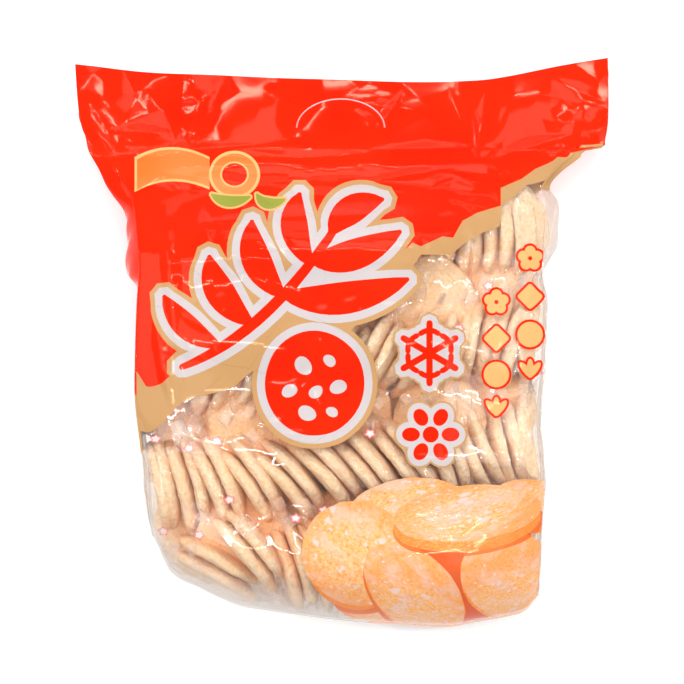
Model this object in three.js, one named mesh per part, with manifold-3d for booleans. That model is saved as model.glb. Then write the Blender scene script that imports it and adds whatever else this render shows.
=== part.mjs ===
// A large see-through plastic bag of wrapped rice crackers, lying on its back with the printed front up.
// The bag has side gussets, a bulging body, a flat header with a die-cut handle, and a folded bottom seal.
// X runs across the bag, Y from its bottom to its header, Z up. Sizes are in millimetres.
import * as THREE from "three";
import { mergeVertices } from "three/addons/utils/BufferGeometryUtils.js";
import Module from "manifold-3d";

// Driving dimensions
const THICKNESS = 118; // the filled body's greatest height off the floor
const HEADER_THICKNESS = 2.6; // both films of the header and the air between them

// The bag's height up its middle, from the Y of its bottom edge. The two edges are stations of a place
// across the bag, as a share of its half width, and Y. The bottom has a cut-off left corner.
const BAG_HEIGHT = 441.5;
const BOTTOM_Y = -227;
const BOTTOM_EDGE = [
  [-1, -155],
  [-0.93, -180.5],
  [-0.78, -193.5],
  [-0.57, -208],
  [-0.45, -211.5],
  [0, -220.5],
  [0.5, -226],
  [0.58, -225.5],
  [0.68, -222.5],
  [0.86, -217.3],
  [0.95, -212.5],
  [1, -203],
];
const TOP_EDGE = [
  [-1, 226],
  [-0.74, 220.3],
  [-0.37, 216.8],
  [0, 213],
  [0.31, 211.4],
  [0.44, 212.1],
  [0.56, 214.5],
  [0.81, 225.1],
  [1, 232],
];

// The front panel's creases, as stations of Y and half the width there: a belly, a neck and a flat header
const LEFT_CREASE = [
  [-230, 148],
  [-171, 149.5],
  [-151, 151.5],
  [-123, 155],
  [-85, 158.2],
  [-45, 163],
  [-10, 163.2],
  [33, 162],
  [60, 160.5],
  [96, 164],
  [118, 168.5],
  [131, 176],
  [146, 188.5],
  [161, 201],
  [170, 207.3],
  [186, 211.3],
  [228, 215.5],
];
const RIGHT_CREASE = [
  [-230, 155],
  [-205, 157],
  [-143, 159],
  [-110, 161.5],
  [-60, 158.3],
  [-15, 162],
  [33, 163.5],
  [56, 160.5],
  [98, 163.5],
  [116, 164.5],
  [126, 161.5],
  [137, 169],
  [150, 184],
  [155, 190.5],
  [158, 207],
  [166, 212],
  [186, 214.8],
  [228, 215.5],
];
// How far the side panels stand out past those creases: little along the body, and most where the film
// spreads from the body into the header
const LEFT_SIDE = [
  [33, 1.5],
  [45, 2.5],
  [55, 12],
  [96, 9.5],
  [107, 10.5],
  [120, 15.5],
  [131, 16],
  [146, 10.5],
  [159, 4.5],
  [172, 0],
];
const RIGHT_SIDE = [
  [40, 1.5],
  [56, 0],
  [63, 3],
  [70, 8],
  [78, 12],
  [98, 11.5],
  [112, 11],
  [126, 6.5],
  [142, 7.5],
  [150, 7],
  [155, 4],
  [166, 0],
];

// Where the body's front and back come together in the header: from Y, to Y
const NECK = { front: [62, 150], back: [95, 152] };
const HEADER_Z = 50; // height of the header where it leaves the body
const HEADER_DROOP = 0.24; // fall of the header for each millimetre towards its top edge

// The body's cross-section
const CREASE_LEFT = 0.74; // height of the front panel's left crease, as a share of the thickness
const CREASE_RIGHT = 0.6;
const CREASE_BACK = 0.2; // height of the back panel's creases
const FRONT_CROWN = 2.6; // power of the front panel's curve: higher is flatter
const BACK_FLAT = 0.72; // share of the back panel that lies flat on the floor
const BODY_TAPER = { share: 0.12, from: -150 }; // share of the thickness lost from Y up to the neck

// The lower end, which is round from front to back
const END_ROUND = 55;
const END_Z = 48; // height of the bottom seal
const END_LEAST = 0.06; // the end wall's flat strip at the seal, as a share of the thickness
const SEAL = { out: 2.4, down: 11, thickness: 1.4, root: 2.6 };

// Relief that the rows of wrapped crackers press into the front
const ROWS = { pitch: 88, y: -172, height: 2.4 };
// Standing waves of the header's film, which grow from the body up: height, half waves across it, phase
const WAVES_FROM = 125;
const WAVES_TO = 204.5;
const HEADER_WAVES = [
  { height: 4.5, count: 1.6, phase: 0.9 },
  { height: 2.2, count: 4.3, phase: 2.1 },
];

// The arched cut of the carrying handle, whose flap is still in place
const HANDLE = { x: -1, y: 174, halfWidth: 36, height: 24, cut: 1.2 };

// Mesh steps, and the shares of the height between which the neck and the header's corners have theirs
const STEPS = { front: 36, side: 8, back: 20, end: 8, body: 21, neck: 13, corner: 6, header: 9 };
const CORNER = { from: 0.805, to: 0.845 };

const clamp = THREE.MathUtils.clamp;
const lerp = THREE.MathUtils.lerp;
const blend = (from, to, x) => THREE.MathUtils.smoothstep(x, from, to);

// A smooth curve through stations of place and value, level past its two ends
function through(stations, place) {
  const at = clamp(place, stations[0][0], stations.at(-1)[0]);
  const k = clamp(stations.findIndex(([x]) => x >= at), 1, stations.length - 1);
  const slope = (i) => {
    const [before, after] = [stations[Math.max(i - 1, 0)], stations[Math.min(i + 1, stations.length - 1)]];
    return (after[1] - before[1]) / (after[0] - before[0]);
  };
  const [[x0, v0], [x1, v1]] = [stations[k - 1], stations[k]];
  const width = x1 - x0;
  const t = (at - x0) / width;
  const rise = t * t * (3 - 2 * t);
  const bend = slope(k - 1) * t * (1 - t) ** 2 - slope(k) * t * t * (1 - t);
  return lerp(v0, v1, rise) + bend * width;
}

const bottomEdge = (s) => through(BOTTOM_EDGE, s);
const topEdge = (s) => through(TOP_EDGE, s);

// Half the width between the creases at height Y, on the side -1 or 1
const creaseHalf = (y, side) => through(side < 0 ? LEFT_CREASE : RIGHT_CREASE, y);

// How far a side panel stands out at Y, with q from 0 at its front crease to 1 at its back one
const sidePanel = (y, side, q) => through(side < 0 ? LEFT_SIDE : RIGHT_SIDE, y) * 4 * q * (1 - q);

const headerZ = (y) => HEADER_Z - HEADER_DROOP * Math.max(0, y - NECK.front[1]);

function headerWave(y, s) {
  const grow = blend(WAVES_FROM, WAVES_TO, y);
  const wave = (w) => w.height * Math.sin(Math.PI * w.count * s + w.phase);
  return grow * HEADER_WAVES.reduce((sum, w) => sum + wave(w), 0);
}

// The lowest and highest point of the cross-section at Y, where end is 0 at the seal and 1 past the round end
function heights(y, end) {
  const top = THICKNESS * (1 - BODY_TAPER.share * blend(BODY_TAPER.from, NECK.front[0], y));
  const middle = headerZ(y);
  const half = HEADER_THICKNESS / 2;
  const front = lerp(top, middle + half, blend(...NECK.front, y));
  const back = lerp(0, middle - half, blend(...NECK.back, y));
  return { low: lerp(END_Z, back, end), high: lerp(END_Z, front, end) };
}

function rowRelief(y, s, end) {
  const body = (1 - blend(...NECK.front, y)) * end * (1 - s ** 4);
  return ROWS.height * Math.cos((2 * Math.PI * (y - ROWS.y)) / ROWS.pitch) * body;
}

const yAt = (share, s) => lerp(bottomEdge(s), topEdge(s), share);

function frontPoint(share, end, s) {
  const y = yAt(share, s);
  const { low, high } = heights(y, end);
  const crease = lerp(low, high, s < 0 ? CREASE_LEFT : CREASE_RIGHT);
  const z = lerp(crease, high, 1 - Math.abs(s) ** FRONT_CROWN) + rowRelief(y, s, end);
  return [s * creaseHalf(y, Math.sign(s)), y, z + headerWave(y, s)];
}

function backPoint(share, end, s) {
  const y = yAt(share, s);
  const { low, high } = heights(y, end);
  const z = lerp(low, lerp(low, high, CREASE_BACK), blend(BACK_FLAT, 1, Math.abs(s)));
  return [s * creaseHalf(y, Math.sign(s)), y, z + headerWave(y, s)];
}

// A point of a side panel, q from the front crease at 0 to the back crease at 1
function sidePoint(share, end, side, q) {
  const front = frontPoint(share, end, side);
  const back = backPoint(share, end, side);
  const x = front[0] + side * sidePanel(front[1], side, q) * end;
  return [x, front[1], lerp(front[2], back[2], q)];
}

// The points that a function gives for evenly spaced values from 0 up to, and without, 1
const spaced = (count, pointAt) => Array.from({ length: count }, (_, i) => pointAt(i / count));

// One closed ring of the bag: front from left to right, right side, back from right to left, left side
function ring(share, end) {
  return [
    ...spaced(STEPS.front, (t) => frontPoint(share, end, 2 * t - 1)),
    ...spaced(STEPS.side, (t) => sidePoint(share, end, 1, t)),
    ...spaced(STEPS.back, (t) => backPoint(share, end, 1 - 2 * t)),
    ...spaced(STEPS.side, (t) => sidePoint(share, end, -1, 1 - t)),
  ];
}

// The bottom seal: the end's ring pressed to a thin strip and folded down, from its root at 0 to its lip at 1
function sealRing(depth) {
  const thick = lerp(SEAL.root, SEAL.thickness, depth);
  return ring(0, END_LEAST).map(([x, y, z]) => {
    const front = clamp((z - END_Z) / (THICKNESS * END_LEAST * 0.5), -1, 1) / 2;
    return [x, y - SEAL.out * depth + front * -thick * depth, END_Z + front * thick - SEAL.down * depth];
  });
}

function allRings() {
  const rings = [sealRing(1), sealRing(0.45), sealRing(0)];
  const least = Math.asin(END_LEAST);
  for (let i = 0; i <= STEPS.end; i++) {
    const angle = lerp(least, Math.PI / 2, i / STEPS.end);
    rings.push(ring((END_ROUND * (1 - Math.cos(angle))) / BAG_HEIGHT, Math.sin(angle)));
  }
  const share = (y) => (y - BOTTOM_Y) / BAG_HEIGHT;
  const stretches = [
    [END_ROUND / BAG_HEIGHT, share(NECK.front[0]), STEPS.body],
    [share(NECK.front[0]), CORNER.from, STEPS.neck],
    [CORNER.from, CORNER.to, STEPS.corner],
    [CORNER.to, 1, STEPS.header],
  ];
  const above = ([from, to, steps]) => spaced(steps, (t) => ring(lerp(from, to, t + 1 / steps), 1));
  return rings.concat(...stretches.map(above));
}

// Joins closed rings of equal length into one closed skin, with a fan of triangles over each end
function loft(rings) {
  const count = rings[0].length;
  const position = rings.flat(2);
  const index = [];
  for (let j = 0; j + 1 < rings.length; j++)
    for (let i = 0; i < count; i++) {
      const a = j * count + i;
      const b = j * count + ((i + 1) % count);
      index.push(a, b, a + count, b, b + count, a + count);
    }
  const lid = (first, flip) => {
    // The ring's two long sides are stitched to each other, from its left end to its right end.
    const upper = [];
    for (let i = 0; i <= STEPS.front; i++) upper.push(first + i);
    const lower = [];
    for (let i = 0; i <= STEPS.back + 2 * STEPS.side; i++) lower.push(first + ((count - i) % count));
    for (let u = 0, l = 0; u + 1 < upper.length || l + 1 < lower.length; ) {
      const upperBehind = u + 1 < upper.length && u / upper.length <= l / lower.length;
      const stepUpper = l + 1 >= lower.length || upperBehind;
      const next = stepUpper ? upper[u + 1] : lower[l + 1];
      const triangle = [upper[u], next, lower[l]];
      if (new Set(triangle).size === 3) index.push(...(flip ? triangle.reverse() : triangle));
      if (stepUpper) u++;
      else l++;
    }
  };
  lid(0, true);
  lid((rings.length - 1) * count, false);
  const geometry = new THREE.BufferGeometry();
  geometry.setAttribute("position", new THREE.Float32BufferAttribute(position, 3));
  geometry.setIndex(index);
  return geometry;
}

// The handle's cut: a half-oval arch one cut wide, tall enough to pass through the header
function handleCut() {
  const { x, y, halfWidth, height, cut } = HANDLE;
  const shape = new THREE.Shape();
  shape.absellipse(x, y, halfWidth, height, 0, Math.PI, false);
  shape.absellipse(x, y, halfWidth - cut, height - cut, Math.PI, 0, true);
  return new THREE.ExtrudeGeometry(shape, { depth: THICKNESS, bevelEnabled: false, curveSegments: 20 });
}

const wasm = await Module();
wasm.setup();

function toSolid(geometry) {
  const bare = geometry.clone();
  bare.deleteAttribute("normal");
  bare.deleteAttribute("uv");
  const merged = mergeVertices(bare, 1e-3);
  return new wasm.Manifold(
    new wasm.Mesh({
      numProp: 3,
      vertProperties: new Float32Array(merged.attributes.position.array),
      triVerts: new Uint32Array(merged.index.array),
    }),
  );
}

function toGeometry(solid) {
  const mesh = solid.getMesh();
  const geometry = new THREE.BufferGeometry();
  geometry.setAttribute("position", new THREE.BufferAttribute(mesh.vertProperties, 3));
  geometry.setIndex(new THREE.BufferAttribute(mesh.triVerts, 1));
  return geometry;
}

function bagGeometry() {
  const skin = loft(allRings());
  const cut = toSolid(skin).subtract(toSolid(handleCut()));
  const geometry = toGeometry(cut);
  // The origin is on the floor, under the middle of the bag.
  geometry.computeBoundingBox();
  const { min, max } = geometry.boundingBox;
  geometry.translate(-(min.x + max.x) / 2, -(min.y + max.y) / 2, -min.z);
  return geometry;
}

const bag = new THREE.Mesh(
  bagGeometry(),
  new THREE.MeshStandardMaterial({ color: 0xf2b48c, roughness: 0.25, metalness: 0 }),
);
bag.name = "bag";

const model = new THREE.Group();
model.add(bag);

export default model;
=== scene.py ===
"""A large see-through plastic bag of wrapped rice crackers, lying on its back with its printed front up.

The film with its print and creases, the wrapped crackers inside and the wrappers are built around the
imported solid. X runs across the bag, Y from its bottom seal to its header and Z up.
Sizes and places are in millimetres until a mesh is made, which is in metres.
"""
import math

import bpy
import numpy as np
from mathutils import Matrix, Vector
from mathutils.geometry import delaunay_2d_cdt


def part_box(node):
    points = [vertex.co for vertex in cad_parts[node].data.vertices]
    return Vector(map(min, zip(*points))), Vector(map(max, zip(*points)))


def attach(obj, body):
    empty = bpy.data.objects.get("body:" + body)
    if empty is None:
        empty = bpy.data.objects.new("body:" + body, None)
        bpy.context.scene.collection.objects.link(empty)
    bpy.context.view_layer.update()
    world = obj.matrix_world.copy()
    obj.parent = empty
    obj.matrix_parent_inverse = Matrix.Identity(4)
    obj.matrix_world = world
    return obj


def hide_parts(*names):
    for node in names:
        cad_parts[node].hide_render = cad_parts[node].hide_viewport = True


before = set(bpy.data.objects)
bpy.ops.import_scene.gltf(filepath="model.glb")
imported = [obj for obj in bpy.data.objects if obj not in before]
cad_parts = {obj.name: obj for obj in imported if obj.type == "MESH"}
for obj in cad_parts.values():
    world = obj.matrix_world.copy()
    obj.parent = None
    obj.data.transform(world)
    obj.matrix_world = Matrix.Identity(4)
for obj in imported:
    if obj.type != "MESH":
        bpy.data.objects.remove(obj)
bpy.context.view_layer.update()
MM = 0.001

# ---- the camera
CAMERA_HEIGHT = 2200.0
DRAWING_Z = 60.0  # height of the plane in which the print's places are given, as the camera sees them
PICTURE_WIDTH = 547.2  # what the picture shows of that plane
SENSOR = 36.0

# ---- the bag's shape, as in its solid
THICKNESS = 118.0
HEADER_THICKNESS = 2.6
BAG_HEIGHT = 441.5
BOTTOM_Y = -227.0
# The two ends' edges, as stations of a share of the half width and y
BOTTOM_EDGE = (
    (-1, -155), (-0.93, -180.5), (-0.78, -193.5), (-0.57, -208), (-0.45, -211.5), (0, -220.5), (0.5, -226),
    (0.58, -225.5), (0.68, -222.5), (0.86, -217.3), (0.95, -212.5), (1, -203),
)
TOP_EDGE = (
    (-1, 226), (-0.74, 220.3), (-0.37, 216.8), (0, 213), (0.31, 211.4), (0.44, 212.1), (0.56, 214.5),
    (0.81, 225.1), (1, 232),
)
# The front panel's creases, as stations of y and half the width there
LEFT_CREASE = (
    (-230, 148), (-171, 149.5), (-151, 151.5), (-123, 155), (-85, 158.2), (-45, 163), (-10, 163.2), (33, 162),
    (60, 160.5), (96, 164), (118, 168.5), (131, 176), (146, 188.5), (161, 201), (170, 207.3), (186, 211.3),
    (228, 215.5),
)
RIGHT_CREASE = (
    (-230, 155), (-205, 157), (-143, 159), (-110, 161.5), (-60, 158.3), (-15, 162), (33, 163.5), (56, 160.5),
    (98, 163.5), (116, 164.5), (126, 161.5), (137, 169), (150, 184), (155, 190.5), (158, 207), (166, 212),
    (186, 214.8), (228, 215.5),
)
# How far the side panels stand out past those creases
LEFT_SIDE = (
    (33, 1.5), (45, 2.5), (55, 12), (96, 9.5), (107, 10.5), (120, 15.5), (131, 16), (146, 10.5), (159, 4.5),
    (172, 0),
)
RIGHT_SIDE = (
    (40, 1.5), (56, 0), (63, 3), (70, 8), (78, 12), (98, 11.5), (112, 11), (126, 6.5), (142, 7.5), (150, 7),
    (155, 4), (166, 0),
)
NECK_FRONT = (62.0, 150.0)
NECK_BACK = (95.0, 152.0)
HEADER_Z = 50.0
HEADER_DROOP = 0.24
CREASE_LEFT = 0.74
CREASE_RIGHT = 0.6
CREASE_BACK = 0.2
FRONT_CROWN = 2.6
BACK_FLAT = 0.72
BODY_TAPER = 0.12
TAPER_FROM = -150.0
END_ROUND = 55.0
END_Z = 48.0
END_LEAST = 0.06
SEAL = {"out": 2.4, "down": 11.0, "thickness": 1.4, "root": 2.6}
ROWS = {"pitch": 88.0, "y": -172.0, "height": 2.4}
WAVES_FROM, WAVES_TO = 125.0, 204.5
HEADER_WAVES = ((4.5, 1.6, 0.9), (2.2, 4.3, 2.1))  # height, half waves across the width, phase
HANDLE = {"x": -1.0, "y": 174.0, "half_width": 36.0, "height": 24.0, "cut": 1.2}


def blend(low, high, x):
    """A smooth step from 0 at low to 1 at high."""
    t = np.clip((x - low) / (high - low), 0.0, 1.0)
    return t * t * (3 - 2 * t)


def lerp(a, b, t):
    """From a at t = 0 to b at t = 1."""
    return a + (b - a) * t


def through(stations, place):
    """A smooth curve through stations of place and value, level past its two ends."""
    at, value = np.array(stations, float).T
    place = np.clip(place, at[0], at[-1])
    k = np.clip(np.searchsorted(at, place), 1, len(at) - 1)
    before, after = np.maximum(np.arange(len(at)) - 1, 0), np.minimum(np.arange(len(at)) + 1, len(at) - 1)
    slope = (value[after] - value[before]) / (at[after] - at[before])
    width = at[k] - at[k - 1]
    t = (place - at[k - 1]) / width
    bend = slope[k - 1] * t * (1 - t) ** 2 - slope[k] * t * t * (1 - t)
    return lerp(value[k - 1], value[k], t * t * (3 - 2 * t)) + bend * width


def bottom_edge(s):
    return through(BOTTOM_EDGE, s)


def top_edge(s):
    return through(TOP_EDGE, s)


def crease_half(y, side):
    """Half the width between the creases at height y, on the side -1 or 1."""
    return np.where(side < 0, through(LEFT_CREASE, y), through(RIGHT_CREASE, y))


def side_panel(y, side, q):
    """How far a side panel stands out, with q from 0 at its front crease to 1 at its back one."""
    return np.where(side < 0, through(LEFT_SIDE, y), through(RIGHT_SIDE, y)) * 4 * q * (1 - q)


def header_wave(y, s):
    grow = blend(WAVES_FROM, WAVES_TO, y)
    return grow * sum(h * np.sin(math.pi * n * s + phase) for h, n, phase in HEADER_WAVES)


def heights(y, end):
    """The cross-section's lowest and highest point at y. End is 0 at the seal and 1 past the round end."""
    top = THICKNESS * (1 - BODY_TAPER * blend(TAPER_FROM, NECK_FRONT[0], y))
    middle = HEADER_Z - HEADER_DROOP * np.maximum(0.0, y - NECK_FRONT[1])
    front = lerp(top, middle + HEADER_THICKNESS / 2, blend(*NECK_FRONT, y))
    back = lerp(0.0, middle - HEADER_THICKNESS / 2, blend(*NECK_BACK, y))
    return lerp(END_Z, back, end), lerp(END_Z, front, end)


def y_at(share, s):
    return lerp(bottom_edge(s), top_edge(s), share)


def end_at(share):
    """How full the cross-section is: it rounds off over the bag's lower end."""
    t = np.clip(share * BAG_HEIGHT / END_ROUND, 0.0, 1.0)
    return np.maximum(END_LEAST, np.sqrt(1 - (1 - t) ** 2))


def front_z(y, s, end):
    low, high = heights(y, end)
    crease = lerp(low, high, np.where(s < 0, CREASE_LEFT, CREASE_RIGHT))
    relief = (1 - blend(*NECK_FRONT, y)) * end * (1 - s**4)
    rows = ROWS["height"] * np.cos(2 * math.pi * (y - ROWS["y"]) / ROWS["pitch"]) * relief
    return lerp(crease, high, 1 - np.abs(s) ** FRONT_CROWN) + rows + header_wave(y, s)


def back_z(y, s, end):
    low, high = heights(y, end)
    rise = blend(BACK_FLAT, 1.0, np.abs(s))
    return lerp(low, lerp(low, high, CREASE_BACK), rise) + header_wave(y, s)


def panel_point(share, s, height_of):
    """Points of the front or back panel, where height_of is front_z or back_z."""
    y = y_at(share, s)
    return np.stack([s * crease_half(y, s), y, height_of(y, s, end_at(share))], -1)


def side_point(share, side, q):
    """Points of a side panel, q from the front crease at 0 to the back crease at 1."""
    s = np.full_like(share, float(side))
    front = panel_point(share, s, front_z)
    back = panel_point(share, s, back_z)
    out = side * side_panel(front[:, 1], side, q) * end_at(share)
    return np.stack([front[:, 0] + out, front[:, 1], lerp(front[:, 2], back[:, 2], q)], -1)


def place_on_solid():
    """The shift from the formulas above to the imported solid, whose origin is under the bag's middle."""
    share, s = np.meshgrid(np.linspace(0, 1, 500), np.linspace(-1, 1, 201))
    front = panel_point(share.ravel(), s.ravel(), front_z)
    back = panel_point(share.ravel(), s.ravel(), back_z)
    low, high = (np.array(corner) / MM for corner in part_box("bag"))
    x = (low[0] + high[0]) / 2 - (front[:, 0].min() + front[:, 0].max()) / 2
    y = high[1] - front[:, 1].max()
    return np.array([x, y, low[2] - back[:, 2].min()])


SHIFT = place_on_solid()


def solve_share(x, y):
    """The panel coordinates s and share of a point that is seen at x, y from above."""
    s = x / crease_half(y, x)
    low, high = bottom_edge(np.clip(s, -1, 1)), top_edge(np.clip(s, -1, 1))
    return s, (y - low) / (high - low)


def panel_height(x, y, height_of):
    """A panel's height over the formulas' floor at x, y."""
    s, share = solve_share(x, y)
    return height_of(y, np.clip(s, -1, 1), end_at(np.clip(share, 0, 1)))


def front_height(x, y):
    return panel_height(x, y, front_z)


def back_height(x, y):
    return panel_height(x, y, back_z)


def onto_film(points):
    """Slides points of the drawing plane along the camera's rays onto the front panel."""
    drawn = np.asarray(points, float)
    seen = drawn.copy()
    for _ in range(6):
        z = front_height(seen[:, 0], seen[:, 1]) + SHIFT[2]
        scale = (CAMERA_HEIGHT - z) / (CAMERA_HEIGHT - DRAWING_Z)
        seen = drawn * scale[:, None] - SHIFT[:2]
    return seen


# ---- flat patterns
# A panel is cut out flat: x across, and v the length of film from the bottom seal upwards.
_shares = np.linspace(0.0, 1.0, 800)
_middle = panel_point(_shares, np.zeros_like(_shares), front_z)
_steps = np.hypot(np.diff(_middle[:, 1]), np.diff(_middle[:, 2]))
_lengths = np.concatenate([[0.0], np.cumsum(_steps)])
FILM_LENGTH = _lengths[-1]


def v_of(share):
    """The length of film from the bottom seal to a share of the panel, which may lie past its ends."""
    inside = np.interp(share, _shares, _lengths)
    beyond = np.where(share < 0, share, np.where(share > 1, share - 1, 0.0))
    return inside + beyond * BAG_HEIGHT


def share_of(v):
    return np.interp(v, _lengths, _shares)


def to_flat(points):
    """Points seen from above at x, y, in the flat pattern."""
    share = solve_share(points[:, 0], points[:, 1])[1]
    return np.stack([points[:, 0], v_of(share)], -1)


def from_flat(flat):
    """The panel coordinates s and share of points of the flat pattern."""
    share = share_of(flat[:, 1])
    s = flat[:, 0] / 170.0
    for _ in range(12):
        s = flat[:, 0] / crease_half(y_at(share, np.clip(s, -1, 1)), s)
    return np.clip(s, -1, 1), share


# ---- outlines of the print
def direction(degrees):
    """The unit vector that is turned by so many degrees from +X."""
    a = math.radians(degrees)
    return np.array([math.cos(a), math.sin(a)])


def ring_angles(steps):
    return np.linspace(0, 2 * math.pi, steps, endpoint=False)


def ellipse(centre, radii, turn, steps, wobble=0.0, seed=0):
    """A closed oval outline, turned by degrees, with an uneven edge."""
    rng = np.random.default_rng(seed)
    a = ring_angles(steps)
    r = np.ones(steps)
    for k in range(2, steps // 4):
        r += wobble / k**0.9 * rng.normal() * np.sin(k * a + rng.uniform(0, 6.3))
    x, y = radii[0] * r * np.cos(a), radii[1] * r * np.sin(a)
    c, d = direction(turn)
    return np.stack([centre[0] + x * c - y * d, centre[1] + x * d + y * c], -1)


def curve_points(start, bend, end, steps):
    """A quadratic curve from start to end, drawn towards bend."""
    t = np.linspace(0, 1, steps)[:, None]
    start, bend, end = (np.array(p, float) for p in (start, bend, end))
    return (1 - t) ** 2 * start + 2 * t * (1 - t) * bend + t**2 * end


def stroke(start, bend, end, widths, margin, steps):
    """A closed outline round a curved stroke, widths at its start, middle and end, grown by a margin."""
    line = curve_points(start, bend, end, steps)
    t = np.linspace(0, 1, steps)
    plump = np.sin(math.pi * t) ** 0.8
    half = (lerp(widths[0], widths[2], t) * (1 - plump) + widths[1] * plump) / 2 + margin
    tangent = np.gradient(line, axis=0)
    tangent /= np.linalg.norm(tangent, axis=1)[:, None]
    normal = np.stack([-tangent[:, 1], tangent[:, 0]], -1)
    left, right = line + normal * half[:, None], line - normal * half[:, None]
    turn = np.linspace(0, math.pi, 5)[1:-1]

    def cap(centre, radius, outward, sideways):
        return centre + radius * (np.cos(turn)[:, None] * sideways + np.sin(turn)[:, None] * outward)

    tip = cap(line[-1], half[-1], tangent[-1], normal[-1])
    tail = cap(line[0], half[0], -tangent[0], -normal[0])
    return np.concatenate([left, tip, right[::-1], tail])


def polygon(*points):
    return np.array(points, float)


def rounded(centre, half, corner, turn):
    """A square outline of half a width, with rounded corners, turned by degrees."""
    parts = []
    for k, sides in enumerate(((1, 1), (-1, 1), (-1, -1), (1, -1))):
        a = np.radians(90 * k + np.linspace(0, 90, 6))
        parts.append(np.array(sides) * (half - corner) + corner * np.stack([np.cos(a), np.sin(a)], -1))
    c, d = direction(turn)
    return np.array(centre) + np.concatenate(parts) @ np.array([[c, d], [-d, c]])


def inside(outline, points):
    """Which points lie inside a closed outline."""
    found = np.zeros(len(points), bool)
    low, high = outline.min(0), outline.max(0)
    near = np.all((points >= low) & (points <= high), axis=1)
    if not near.any():
        return found
    px, py = points[near, 0][:, None], points[near, 1][:, None]
    ax, ay = outline[:, 0], outline[:, 1]
    bx, by = np.roll(ax, -1), np.roll(ay, -1)
    crosses = (ay > py) != (by > py)
    with np.errstate(divide="ignore", invalid="ignore"):
        at = ax + (py - ay) * (bx - ax) / (by - ay)
    found[near] = (crosses & (px < at)).sum(1) % 2 == 1
    return found


# ---- the print, seen in the drawing plane
CLEAR, RED, TAN, WHITE, GOLD, ORANGE, GREEN, PICTURE, RIM, SHADOW, DEEP = range(11)

# The red field's lower edge from left to right, and the lower edge of the tan band under it
RED_EDGE = polygon(
    (-260, -33), (-157, -35), (-144, -33), (-138, -27.5), (-118, -20), (-96, -14), (-84, -2), (-52, 6),
    (-40, 22), (-4, 30), (10, 46), (38, 62), (56.5, 79.5), (63, 76.5), (80.5, 84.5), (89, 83.5), (96.5, 97),
    (108.5, 103.5), (127, 109), (127, 123.2), (143.4, 130.3), (154.8, 138.6), (168, 144.2), (172.5, 148),
    (180, 147.8), (190, 155.6), (192, 157.6), (209, 158.8), (260, 160),
)
TAN_EDGE = polygon(
    (-260, -74), (-163, -72.5), (-151.5, -71), (-129, -48.5), (-116.5, -43.5), (-87.5, -36.5), (-70, -22),
    (-40, -14), (-24, 4), (8, 10), (24, 30), (46, 44), (63, 70), (87, 70), (97, 78), (112.5, 87.5),
    (126, 92.5), (128.5, 110), (140, 118), (147, 125.5), (171, 129), (200, 130), (260, 130),
)
FIELD_TOP = 300.0


def field(edge):
    """A field of colour from its lower edge to past the bag's top."""
    ends = polygon((edge[-1][0], FIELD_TOP), (edge[0][0], FIELD_TOP))
    return np.concatenate([edge, ends])


# An ear of rice over a round cracker: the ear's stem and grains, each a stroke's start, bend and end,
# and its widths there
EAR = (
    ((-128, -20), (-60, 6), (-2, 96), (5, 9, 6)),
    ((-8, 88), (2, 110), (32, 114), (7, 23, 4)),
    ((-24, 66), (6, 62), (46, 88), (7, 25, 4)),
    ((-46, 38), (-2, 26), (52, 50), (7, 26, 4)),
    ((-26, 64), (-46, 92), (-34, 118), (7, 22, 4)),
    ((-48, 38), (-76, 62), (-72, 96), (7, 24, 4)),
    ((-74, 16), (-104, 36), (-106, 68), (7, 24, 4)),
    ((-100, -2), (-128, 8), (-142, 36), (6, 20, 4)),
)
ROUND_MIDDLE = (-22.0, -33.0)
ROUND_RADII = (40.0, 42.0)
# The pale flecks on the round cracker, each its place from the middle and its radius
ROUND_SPOTS = (
    (-9, 14, 8), (12, 18, 5.5), (19, -3, 7), (1, -7, 6), (-20, -6, 6.5), (-6, -24, 7.5), (14, -23, 5),
)
WHITE_MARGIN = 6.5
TAN_MARGIN = 10.5
# What fills the small gaps between the grains in the tan and the white margin
TAN_FILL = ((-50, 12), (12, 8), 40, 12)
WHITE_FILL = ((-19, 52), (4, 4), 0, 12)

# Two marks, one above the other: a snow crystal of six arms and a flower of six petals
MARK_CENTRES = ((70.0, -9.0), (71.0, -74.0))
MARK_RADIUS = 24.0
MARK_MARGINS = (6.4, 4.8, 0.0)  # of its tan, its white and its red

# Two columns of small marks
SMALL_MARKS = [(123.5, 32 - 29 * k) for k in range(4)] + [(150.5, 67 - 30.5 * k) for k in range(4)]
SMALL_MARGIN = 1.9

# The printed picture: each cracker's centre, radii, turn, seed and how much of its rim shows, back to front
PICTURE_CRACKERS = (
    ((52.0, -133.0), (47.0, 24.0), 8.0, 11, 3.0),
    ((150.0, -130.0), (34.0, 20.0), -4.0, 16, 3.0),
    ((24.0, -206.0), (34.0, 17.0), -14.0, 18, 3.0),
    ((12.0, -169.0), (45.0, 41.0), -28.0, 13, 3.5),
    ((133.5, -186.0), (39.0, 35.0), -6.0, 15, 2.5),
    ((57.5, -198.0), (46.5, 29.0), -40.0, 12, 2.5),
    ((100.0, -137.0), (59.0, 22.5), 6.0, 14, 8.0),
)
RIM_SHIFT = 0.6
SHADOW_SHIFT = (1.0, -2.0)
SHADOW_GROW = 1.5
# What shows between the printed crackers
PICTURE_MIDDLE = polygon((60, -140), (150, -140), (158, -205), (120, -222), (50, -226), (30, -170))

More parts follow.
